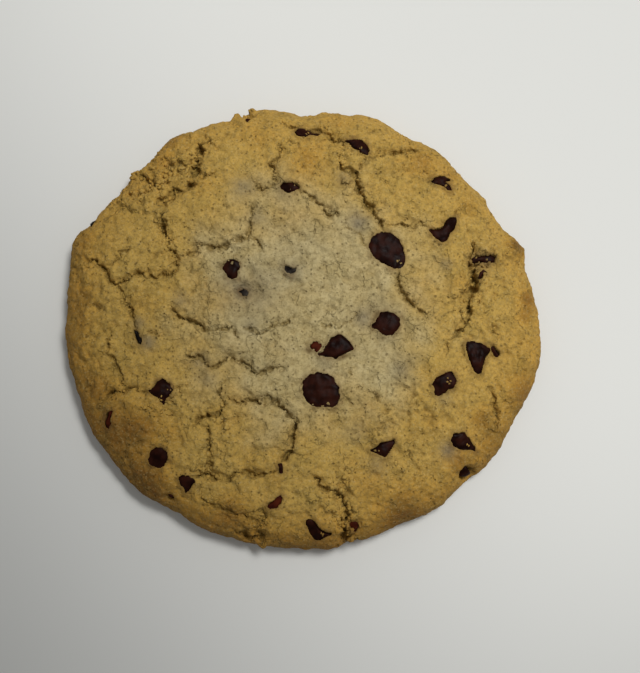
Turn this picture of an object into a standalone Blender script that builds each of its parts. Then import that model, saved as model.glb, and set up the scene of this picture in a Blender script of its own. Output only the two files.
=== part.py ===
"""A large soft chocolate chip cookie: one baked dough body with its cracks, and the chips that show in it."""

import math

import bmesh
import bpy
from mathutils import Matrix, Vector, noise

MM = 0.001

# Whole cookie, in millimetres.
HALF_WIDTH = 52.3
HALF_DEPTH = 48.9
FOOT_INSET = 3.2
WIDEST_HEIGHT = 3.4
SHOULDER_WIDTH = 13.5
SHOULDER_HEIGHT = 10.2
SHOULDER_POWER = 2.2
CROWN_RISE = 4.0
LUMP_SIZE = 12.0
LUMP_RISE = 0.75
SMALL_LUMP_SIZE = 5.5
SMALL_LUMP_RISE = 0.35

# Where the rim bulges out or falls in: angle from +X in degrees, distance, half width in degrees.
RIM_LOBES = (
    (352, 0.9, 9),
    (13.5, -1.1, 5.5),
    (19.5, 1.2, 3),
    (27, -1.9, 5.5),
    (40, -1.5, 9),
    (61, -0.8, 4),
    (72, 0.8, 4),
    (89, -1.4, 3.5),
    (101, 1.0, 5),
    (115, 0.9, 3),
    (124.5, 2.0, 5),
    (144, -0.5, 4),
    (160, 2.4, 7),
    (196, -0.6, 6),
    (226, 0.6, 4),
    (236, -0.7, 4),
    (276, 0.6, 3),
    (282, -0.8, 1.6),
    (295, -0.9, 6),
    (315, -0.9, 5),
    (335, -0.5, 4),
)
RIM_GRAIN = 0.3

# Cracks in the crust: width, depth and the route from above.
CRACK_STEP = 2.4
CRACK_WANDER = 0.7
CRACK_TAPER = 4.5
CRACK_VARIETY = 0.5
CRACK_HEADROOM = 1.2
CRACKS = (
    (1.9, 2.0, ((8.1, 36.4), (9.9, 33.0), (12.0, 28.9), (14.6, 24.7), (16.8, 21.2))),
    (1.3, 1.4, ((20.4, 9.4), (20.9, 6.0), (24.2, 2.5), (27.4, 1.0))),
    (1.2, 1.2, ((19.0, 21.2), (23.9, 20.2), (26.2, 21.0))),
    (1.7, 1.6, ((-5.0, 44.0), (0.0, 42.8), (5.0, 42.2), (10.8, 38.9), (17.8, 37.3), (26.8, 38.9))),
    (1.3, 1.2, ((-5.0, 39.4), (-7.2, 34.4), (-6.1, 30.6), (-0.8, 28.2), (4.4, 24.4), (8.6, 22.6))),
    (2.3, 1.9, ((-20.8, 40.9), (-23.5, 36.0), (-24.6, 29.6), (-30.2, 25.6), (-30.2, 19.8), (-27.4, 11.4))),
    (1.9, 1.8, ((-47.6, 12.6), (-44.6, 12.8), (-40.4, 7.8), (-35.5, 10.3), (-27.8, 9.8))),
    (1.5, 1.4, ((-26.0, 13.6), (-21.6, 16.4), (-16.7, 15.8), (-12.0, 18.2), (-11.0, 25.4))),
    (1.6, 1.5, ((-40.2, 6.6), (-38.2, 4.0), (-36.4, 0.0), (-35.6, -2.6))),
    (1.4, 1.3, ((-28.6, 2.7), (-23.5, -0.8), (-19.4, -2.9), (-15.0, -2.2), (-12.8, -4.8))),
    (1.2, 1.2, ((-12.2, -2.2), (-8.8, -3.4), (-3.4, -0.8))),
    (1.4, 1.4, ((-23.0, -8.3), (-19.5, -10.4), (-15.6, -8.2), (-10.0, -11.8), (-4.2, -11.0))),
    (1.5, 1.5, ((-16.4, -13.2), (-17.4, -17.5), (-18.0, -20.6), (-22.4, -21.6))),
    (1.7, 1.8, ((-15.8, -16.8), (-11.6, -17.6), (-7.0, -17.4), (-1.0, -21.6), (-2.2, -27.0), (-4.4, -30.4))),
    (2.1, 2.0, ((-22.6, -34.0), (-19.0, -33.3), (-15.4, -34.0), (-11.8, -32.6), (-6.6, -33.0))),
    (2.2, 2.4, ((37.2, 16.6), (36.0, 12.3), (37.2, 7.6), (35.7, 4.8), (35.8, 0.6), (31.0, -4.6))),
    (1.7, 2.1, ((2.1, -33.5), (6.5, -36.6), (9.4, -40.4), (8.6, -43.4), (9.3, -49.5))),
    (1.4, 1.3, ((-42.4, -17.1), (-37.0, -15.0), (-33.0, -15.5))),
    (1.6, 1.8, ((-15.4, -44.2), (-11.0, -46.3), (-7.0, -46.0))),
    (1.3, 1.3, ((40.3, -14.6), (41.4, -19.2), (42.2, -22.4))),
)

# A chip as it leaves its mould: a flat round base drawn up to a soft tip, as shares of radius and height.
CHIP_HEIGHT_SHARE = 0.78
CHIP_MIDDLE = 0.38
CHIP_OUTLINE = ((0.82, 0.0), (1.0, 0.15), (0.86, 0.48), (0.45, 0.80))
CHIP_UNEVENNESS = 0.05
POCKET_GAP = 0.3

# The chips that show: middle of what shows, base diameter, tip's heading, tip's tilt, stand above the dough.
CHIPS = (
    (-3.0, 29.0, 6.4, 5, 0, 0.2),
    (12.3, 38.8, 7.0, -35, 10, 0.4),
    (-0.2, 42.4, 5.6, 80, 30, 0.25),
    (30.7, 31.3, 6.6, -20, 5, 0.4),
    (30.4, 20.0, 7.6, 215, 15, 0.75),
    (18.1, 14.7, 8.2, 120, -86, 0.55),
    (39.6, 13.5, 6.2, -4, 0, 0.2),
    (38.9, 8.9, 2.8, 20, 20, 0.25),
    (-15.2, 10.5, 6.6, 130, 62, 0.5),
    (-12.4, 5.7, 3.2, 0, 10, 0.25),
    (-2.5, 10.4, 6.2, 170, 0, 0.12),
    (18.1, -1.2, 7.6, 160, -58, 0.6),
    (7.6, -6.3, 7.8, 190, 4, 1.0),
    (1.2, -5.8, 2.6, 30, 10, 0.3),
    (3.9, -15.4, 8.4, 250, -86, 0.6),
    (37.5, -8.0, 7.4, -98, 2, 1.0),
    (42.4, -6.6, 2.8, 70, 10, 0.25),
    (30.0, -14.0, 7.2, 45, -25, 0.6),
    (17.0, -27.5, 7.0, 184, 0, 0.35),
    (34.3, -26.0, 7.0, -28, 0, 0.55),
    (36.0, -31.8, 5.4, 221, 0, 0.35),
    (-29.8, -15.3, 7.2, 90, 45, 0.6),
    (-30.7, -29.5, 5.2, 0, -84, 0.35),
    (-24.8, -34.7, 5.0, 20, 0, 0.3),
    (-28.3, -38.0, 2.8, 50, 10, 0.25),
    (3.1, -43.8, 6.4, 0, 8, 0.5),
    (-5.7, -38.7, 3.8, 80, 0, 0.25),
    (11.6, -43.6, 2.8, 0, 10, 0.25),
    (-35.4, -5.4, 5.4, 94, 0, 0.15),
    (-42.3, -21.1, 3.6, 90, 0, 0.2),
    (-46.6, 22.4, 3.6, 60, 0, 0.25),
    (-12.4, 46.0, 3.0, 10, 10, 0.25),
    (-4.8, -31.9, 2.6, 90, 0, 0.25),
)

DOUGH_COLOUR = (0.42, 0.27, 0.10, 1.0)
CHIP_COLOUR = (0.018, 0.006, 0.004, 1.0)


def wave(x, y, size, seed):
    """Smooth unevenness between about -1 and 1, with lumps this size across."""
    return noise.noise(Vector((x / size, y / size, seed)))


def rim_radius(angle):
    """Distance from the middle to the widest edge, in the direction of this angle in radians."""
    radius = 1 / math.hypot(math.cos(angle) / HALF_WIDTH, math.sin(angle) / HALF_DEPTH)
    for lobe_angle, rise, half_width in RIM_LOBES:
        apart = (math.degrees(angle) - lobe_angle + 180) % 360 - 180
        radius += rise * math.exp(-((apart / half_width) ** 2))
    return radius + RIM_GRAIN * wave(radius * math.cos(angle), radius * math.sin(angle), 4.0, 7.0)


def shoulder(inset):
    """Height of the rounded shoulder at this distance in from the widest edge."""
    left = max(0.0, 1 - inset / SHOULDER_WIDTH)
    rise = (1 - left**SHOULDER_POWER) ** (1 / SHOULDER_POWER)
    return WIDEST_HEIGHT + (SHOULDER_HEIGHT - WIDEST_HEIGHT) * rise


def crust_height(x, y):
    """Height of the uncracked top at this place."""
    reach = math.hypot(x, y)
    radius = rim_radius(math.atan2(y, x))
    inset = max(0.0, radius - reach)
    settled = min(1.0, inset / SHOULDER_WIDTH)
    lumps = LUMP_RISE * wave(x, y, LUMP_SIZE, 1.0) + SMALL_LUMP_RISE * wave(x, y, SMALL_LUMP_SIZE, 4.0)
    return shoulder(inset) + CROWN_RISE * max(0.0, 1 - (reach / radius) ** 2) + 2 * settled * lumps


def finish_mesh(name, mesh_data):
    """Turns a bmesh in millimetres into an object in metres, with its normals facing out."""
    bmesh.ops.recalc_face_normals(mesh_data, faces=mesh_data.faces)
    mesh = bpy.data.meshes.new(name)
    mesh_data.transform(Matrix.Scale(MM, 4))
    mesh_data.to_mesh(mesh)
    mesh_data.free()
    made = bpy.data.objects.new(name, mesh)
    bpy.context.scene.collection.objects.link(made)
    return made


def material(name, colour, roughness):
    made = bpy.data.materials.new(name)
    made.use_nodes = True
    shader = made.node_tree.nodes["Principled BSDF"]
    shader.inputs["Base Color"].default_value = colour
    shader.inputs["Roughness"].default_value = roughness
    made.diffuse_color = colour
    return made


def join_rings(mesh_data, outer, inner):
    """Faces between two rings, where the inner ring has as many points as the outer or half of them."""
    count = len(inner)
    if len(outer) == count:
        for k in range(count):
            mesh_data.faces.new((outer[k], outer[(k + 1) % count], inner[(k + 1) % count], inner[k]))
        return
    for k in range(count):
        middle = outer[2 * k + 1]
        end = outer[(2 * k + 2) % len(outer)]
        mesh_data.faces.new((outer[2 * k], middle, inner[k]))
        mesh_data.faces.new((middle, end, inner[(k + 1) % count]))
        mesh_data.faces.new((middle, inner[(k + 1) % count], inner[k]))


def close_ring(mesh_data, ring, middle):
    """A fan of faces from a ring to one middle point."""
    for k, point in enumerate(ring):
        mesh_data.faces.new((point, ring[(k + 1) % len(ring)], middle))


def dough_body():
    """The uncut dough: a flat underside, a rounded rim and a low uneven crown."""
    full = 112
    rings = [(0.24, full // 8), (0.5, full // 4), (0.76, full // 2)]
    side_steps = 3
    shoulder_insets = (0.4, 1.3, 2.8, 5.0, 7.8, 11.0, 14.6)
    crown_shares = ((0.63, 2), (0.55, 2), (0.47, 2), (0.39, 2), (0.31, 2), (0.24, 4), (0.17, 4), (0.11, 8), (0.05, 8))
    mesh_data = bmesh.new()

    def ring(count, reach, height):
        """One ring of points, with its reach and height given as functions of the angle."""
        points = []
        for k in range(count):
            angle = 2 * math.pi * k / count
            at = reach(angle)
            x, y = at * math.cos(angle), at * math.sin(angle)
            points.append(mesh_data.verts.new((x, y, height(x, y))))
        return points

    made = []
    for share, count in rings:
        made.append(ring(count, lambda a, s=share: s * (rim_radius(a) - FOOT_INSET), lambda x, y: 0.0))
    for step in range(side_steps + 1):
        turn = math.pi / 2 * step / side_steps
        inset = FOOT_INSET * (1 - math.sin(turn))
        level = WIDEST_HEIGHT * (1 - math.cos(turn))
        made.append(ring(full, lambda a, i=inset: rim_radius(a) - i, lambda x, y, z=level: z))
    for inset in shoulder_insets:
        made.append(ring(full, lambda a, i=inset: rim_radius(a) - i, crust_height))
    for share, fewer in crown_shares:
        made.append(ring(full // fewer, lambda a, s=share: s * rim_radius(a), crust_height))
    close_ring(mesh_data, made[0], mesh_data.verts.new((0, 0, 0)))
    for before, after in zip(made, made[1:]):
        if len(before) < len(after):
            join_rings(mesh_data, after, before)
        else:
            join_rings(mesh_data, before, after)
    close_ring(mesh_data, made[-1], mesh_data.verts.new((0, 0, crust_height(0, 0))))
    bmesh.ops.triangulate(mesh_data, faces=mesh_data.faces)
    return finish_mesh("baked_dough", mesh_data)


def crack_points(route):
    """Points spaced along a crack's route, wandering a little to both sides."""
    points = []
    for (x0, y0), (x1, y1) in zip(route, route[1:]):
        steps = max(1, round(math.hypot(x1 - x0, y1 - y0) / CRACK_STEP))
        for step in range(steps):
            share = step / steps
            points.append((x0 + (x1 - x0) * share, y0 + (y1 - y0) * share))
    points.append(route[-1])
    moved = []
    for x, y in points:
        moved.append(Vector((x + CRACK_WANDER * wave(x, y, 2.7, 11.0), y + CRACK_WANDER * wave(x, y, 2.7, 13.0))))
    return moved


def crack_cutter(number, width, depth, route):
    """A wedge along the route, deepest in the middle of it and tapered to both ends."""
    points = crack_points(route)
    lengths = [0.0]
    for before, after in zip(points, points[1:]):
        lengths.append(lengths[-1] + (after - before).length)
    mesh_data = bmesh.new()
    sections = []
    for k, point in enumerate(points):
        along = (points[min(k + 1, len(points) - 1)] - points[max(k - 1, 0)]).normalized()
        across = Vector((-along.y, along.x))
        end = min(lengths[k], lengths[-1] - lengths[k])
        size = min(1.0, 0.3 + end / CRACK_TAPER) * (1 + CRACK_VARIETY * wave(point.x, point.y, 4.0, 17.0))
        deep = depth * size
        half = width / 2 * size * (1 + CRACK_HEADROOM / deep)
        level = crust_height(*point)
        left, right = point + across * half, point - across * half
        sections.append(
            (
                mesh_data.verts.new((left.x, left.y, level + CRACK_HEADROOM)),
                mesh_data.verts.new((point.x, point.y, level - deep)),
                mesh_data.verts.new((right.x, right.y, level + CRACK_HEADROOM)),
            )
        )
    for before, after in zip(sections, sections[1:]):
        for k in range(3):
            mesh_data.faces.new((before[k], before[(k + 1) % 3], after[(k + 1) % 3], after[k]))
    mesh_data.faces.new(sections[0])
    mesh_data.faces.new(sections[-1])
    bmesh.ops.triangulate(mesh_data, faces=mesh_data.faces)
    return finish_mesh(f"crack_cutter_{number:02d}", mesh_data)


def chip_points(number, x, y, diameter, heading, tilt, stand):
    """The chip's rings of points, its base middle and its tip, set into the crust at its place."""
    count = 14 if diameter > 7.5 else (10 if diameter > 4.5 else 8)
    tall = diameter * CHIP_HEIGHT_SHARE
    turn = Matrix.Rotation(math.radians(heading), 3, "Z") @ Matrix.Rotation(math.radians(90 - tilt), 3, "Y")

    def placed(radius, height, angle):
        point = Vector((radius * math.cos(angle), radius * math.sin(angle), height - CHIP_MIDDLE * tall))
        uneven = noise.noise(point * 0.35 + Vector((number * 5.1, 0, 0)))
        return turn @ (point * (1 + CHIP_UNEVENNESS * 2 * uneven))

    rings = []
    for radius_share, height_share in CHIP_OUTLINE:
        radius = diameter / 2 * radius_share
        height = tall * height_share
        rings.append([placed(radius, height, 2 * math.pi * k / count) for k in range(count)])
    base, tip = placed(0, 0, 0), placed(0, tall, 0)
    everything = [point for ring in rings for point in ring] + [base, tip]
    highest = max(point.z for point in everything)
    shown = [point for point in everything if point.z > highest - max(stand, 0.08 * diameter)]
    middle = sum(shown, Vector()) / len(shown)
    shift = Vector((x - middle.x, y - middle.y, crust_height(x, y) + stand - highest))
    return [[point + shift for point in ring] for ring in rings], base + shift, tip + shift


def chip_solid(name, rings, base, tip, grow):
    """One chip from its rings, or the pocket it sits in when grown."""
    middle = (base + tip) / 2
    size = max((point - middle).length for point in rings[1])
    factor = 1 + grow / size

    def moved(point):
        return middle + (point - middle) * factor

    mesh_data = bmesh.new()
    made = [[mesh_data.verts.new(moved(point)) for point in ring] for ring in rings]
    close_ring(mesh_data, made[0], mesh_data.verts.new(moved(base)))
    for before, after in zip(made, made[1:]):
        join_rings(mesh_data, before, after)
    close_ring(mesh_data, made[-1], mesh_data.verts.new(moved(tip)))
    bmesh.ops.triangulate(mesh_data, faces=mesh_data.faces)
    return finish_mesh(name, mesh_data)


def hide_cutter(cutter, collection):
    bpy.context.scene.collection.objects.unlink(cutter)
    collection.objects.link(cutter)
    cutter.hide_render = True
    cutter.display_type = "WIRE"


def keep_largest(obj):
    """Drops the loose crumbs that crossing cracks leave, and keeps the one body."""
    mesh_data = bmesh.new()
    mesh_data.from_mesh(obj.data)
    left = set(mesh_data.verts)
    bodies = []
    while left:
        body, waiting = set(), [left.pop()]
        while waiting:
            point = waiting.pop()
            body.add(point)
            for edge in point.link_edges:
                other = edge.other_vert(point)
                if other in left:
                    left.discard(other)
                    waiting.append(other)
        bodies.append(body)
    bodies.sort(key=len)
    for body in bodies[:-1]:
        bmesh.ops.delete(mesh_data, geom=list(body), context="VERTS")
    mesh_data.to_mesh(obj.data)
    mesh_data.free()


for old in list(bpy.data.objects):
    bpy.data.objects.remove(old)

cookie = bpy.data.objects.new("cookie", None)
bpy.context.scene.collection.objects.link(cookie)
cutters = bpy.data.collections.new("cutters")
bpy.context.scene.collection.children.link(cutters)
cutters.hide_render = True
dough_material = material("baked_dough", DOUGH_COLOUR, 0.8)
chip_material = material("dark_chocolate", CHIP_COLOUR, 0.35)

# The dough, cut by its cracks and by a pocket for each chip.
dough = dough_body()
dough.data.materials.append(dough_material)
for number, (width, depth, route) in enumerate(CRACKS, 1):
    hide_cutter(crack_cutter(number, width, depth, route), cutters)
pieces = [dough]
for number, chip in enumerate(CHIPS, 1):
    rings, base, tip = chip_points(number, *chip)
    hide_cutter(chip_solid(f"pocket_cutter_{number:02d}", rings, base, tip, POCKET_GAP), cutters)
    made = chip_solid(f"chip_{number:02d}", rings, base, tip, 0.0)
    made.data.materials.append(chip_material)
    pieces.append(made)
cut = dough.modifiers.new("cracks and pockets", "BOOLEAN")
cut.operation = "DIFFERENCE"
cut.operand_type = "COLLECTION"
cut.collection = cutters
cut.solver = "EXACT"
cut.use_self = True
bpy.context.view_layer.objects.active = dough
bpy.ops.object.modifier_apply(modifier=cut.name)
keep_largest(dough)

# Everything moves so that the cookie's footprint is centred on the origin.
corners = [point.co for point in dough.data.vertices]
middle_x = (min(c.x for c in corners) + max(c.x for c in corners)) / 2
middle_y = (min(c.y for c in corners) + max(c.y for c in corners)) / 2
for piece in pieces:
    piece.data.transform(Matrix.Translation((-middle_x, -middle_y, 0)))
    piece.parent = cookie
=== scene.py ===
"""A large soft-baked chocolate chip cookie on a pale table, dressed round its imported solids."""

import math
import random

import bmesh
import bpy
from mathutils import Matrix, Vector, noise
from mathutils.bvhtree import BVHTree
from mathutils.kdtree import KDTree


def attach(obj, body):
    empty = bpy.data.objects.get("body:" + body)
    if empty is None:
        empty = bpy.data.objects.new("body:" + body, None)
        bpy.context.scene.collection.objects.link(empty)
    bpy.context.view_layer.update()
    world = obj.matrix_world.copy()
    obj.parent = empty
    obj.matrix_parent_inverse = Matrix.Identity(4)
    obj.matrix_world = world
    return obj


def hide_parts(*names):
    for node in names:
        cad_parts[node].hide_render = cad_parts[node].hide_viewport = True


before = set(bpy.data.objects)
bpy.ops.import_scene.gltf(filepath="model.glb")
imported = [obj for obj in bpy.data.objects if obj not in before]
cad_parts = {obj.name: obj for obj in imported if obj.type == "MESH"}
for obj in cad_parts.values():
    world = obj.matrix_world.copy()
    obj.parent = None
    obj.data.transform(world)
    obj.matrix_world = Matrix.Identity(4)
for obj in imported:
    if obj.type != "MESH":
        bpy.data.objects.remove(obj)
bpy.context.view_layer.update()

# Chocolate chips
# Small drops of dark chocolate with a flat round base and a soft tip. They melt a little in the oven,
# set again with a satin skin, and sit in the dough with crumb stuck to them.

MM = 0.001


def alone(piece):
    """Makes this the only selected object, and the active one."""
    bpy.ops.object.select_all(action="DESELECT")
    piece.select_set(True)
    bpy.context.view_layer.objects.active = piece


def apply_modifier(piece, name, kind, **settings):
    """Adds a modifier with these settings and applies it."""
    alone(piece)
    modifier = piece.modifiers.new(name, kind)
    for key, value in settings.items():
        setattr(modifier, key, value)
    bpy.ops.object.modifier_apply(modifier=name)


def new_piece(name, mesh):
    """A new object with this mesh, the only one selected."""
    piece = bpy.data.objects.new(name, mesh)
    bpy.context.scene.collection.objects.link(piece)
    alone(piece)
    return piece


def merged_copy(node, name):
    """A new piece with the solid's mesh, its loose triangles joined."""
    piece = new_piece(name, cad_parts[node].data.copy())
    piece.data.materials.clear()
    bpy.ops.object.mode_set(mode="EDIT")
    bpy.ops.mesh.select_all(action="SELECT")
    bpy.ops.mesh.remove_doubles(threshold=0.001 * MM)
    bpy.ops.object.mode_set(mode="OBJECT")
    return piece


def surface_of(pieces):
    """A search tree over all the faces of these pieces."""
    joined = bmesh.new()
    for piece in pieces:
        joined.from_mesh(piece.data)
    tree = BVHTree.FromBMesh(joined)
    joined.free()
    return tree


def linear(hex_colour):
    """An sRGB hex colour as the linear colour that a shader takes."""
    values = [int(hex_colour[k : k + 2], 16) / 255 for k in (1, 3, 5)]
    return [v / 12.92 if v <= 0.04045 else ((v + 0.055) / 1.055) ** 2.4 for v in values] + [1.0]


def new_material(name):
    """A node material with only a Principled shader and its output, and that shader."""
    material = bpy.data.materials.new(name)
    material.use_nodes = True
    return material, material.node_tree.nodes["Principled BSDF"]


def add_node(material, kind, settings=None, inputs=None):
    """Adds a node, sets its own settings, and fills or links its inputs by name or number."""
    node = material.node_tree.nodes.new(kind)
    for key, value in (settings or {}).items():
        setattr(node, key, value)
    for key, value in (inputs or {}).items():
        if isinstance(value, bpy.types.NodeSocket):
            material.node_tree.links.new(value, node.inputs[key])
        else:
            node.inputs[key].default_value = value
    return node


def chocolate(name, dark, light, roughness):
    """Chocolate that melted and set: patches 2.2 mm wide, dull where light, and pits 0.9 mm apart."""
    material, shader = new_material(name)
    links = material.node_tree.links
    place = add_node(material, "ShaderNodeTexCoord").outputs["Object"]
    patch_inputs = {"Vector": place, "Scale": 1 / 0.0022, "Detail": 4.0}
    patches = add_node(material, "ShaderNodeTexNoise", inputs=patch_inputs).outputs["Fac"]
    spread_inputs = {"Value": patches, "From Min": 0.4, "From Max": 0.68}
    spread = add_node(material, "ShaderNodeMapRange", inputs=spread_inputs).outputs["Result"]
    colour_inputs = {0: spread, 6: linear(dark), 7: linear(light)}
    colour = add_node(material, "ShaderNodeMix", {"data_type": "RGBA"}, colour_inputs)
    links.new(colour.outputs[2], shader.inputs["Base Color"])
    gloss_inputs = {"Value": patches, "To Min": roughness - 0.1, "To Max": roughness + 0.3}
    gloss = add_node(material, "ShaderNodeMapRange", inputs=gloss_inputs)
    links.new(gloss.outputs["Result"], shader.inputs["Roughness"])
    pit_inputs = {"Vector": place, "Scale": 1 / 0.0009, "Detail": 3.0}
    pits = add_node(material, "ShaderNodeTexNoise", inputs=pit_inputs)
    bump_inputs = {"Strength": 0.6, "Distance": 0.12 * MM, "Height": pits.outputs["Fac"]}
    bump = add_node(material, "ShaderNodeBump", inputs=bump_inputs)
    links.new(bump.outputs["Normal"], shader.inputs["Normal"])
    shader.inputs["IOR"].default_value = 1.46
    shader.inputs["Specular IOR Level"].default_value = 0.05
    return material


# Dark chocolate set with its satin skin: nearly black, with patches of red brown.
dark_chocolate = chocolate("dark_chocolate", "#160603", "#30140B", 0.36)
# Dark chocolate smeared thin over the crust while it was soft: a redder brown, and duller.
smeared_chocolate = chocolate("smeared_chocolate", "#300E07", "#52200F", 0.55)
# Dark chocolate under a dry film of flour and sugar: greyed and matt.
dusted_chocolate = chocolate("dusted_chocolate", "#15100F", "#4A443C", 0.7)
# The chips that have these finishes. All others have the satin skin.
SMEARED = (14, 27, 28, 30)
DUSTED = (10, 11, 29, 31)

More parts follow.
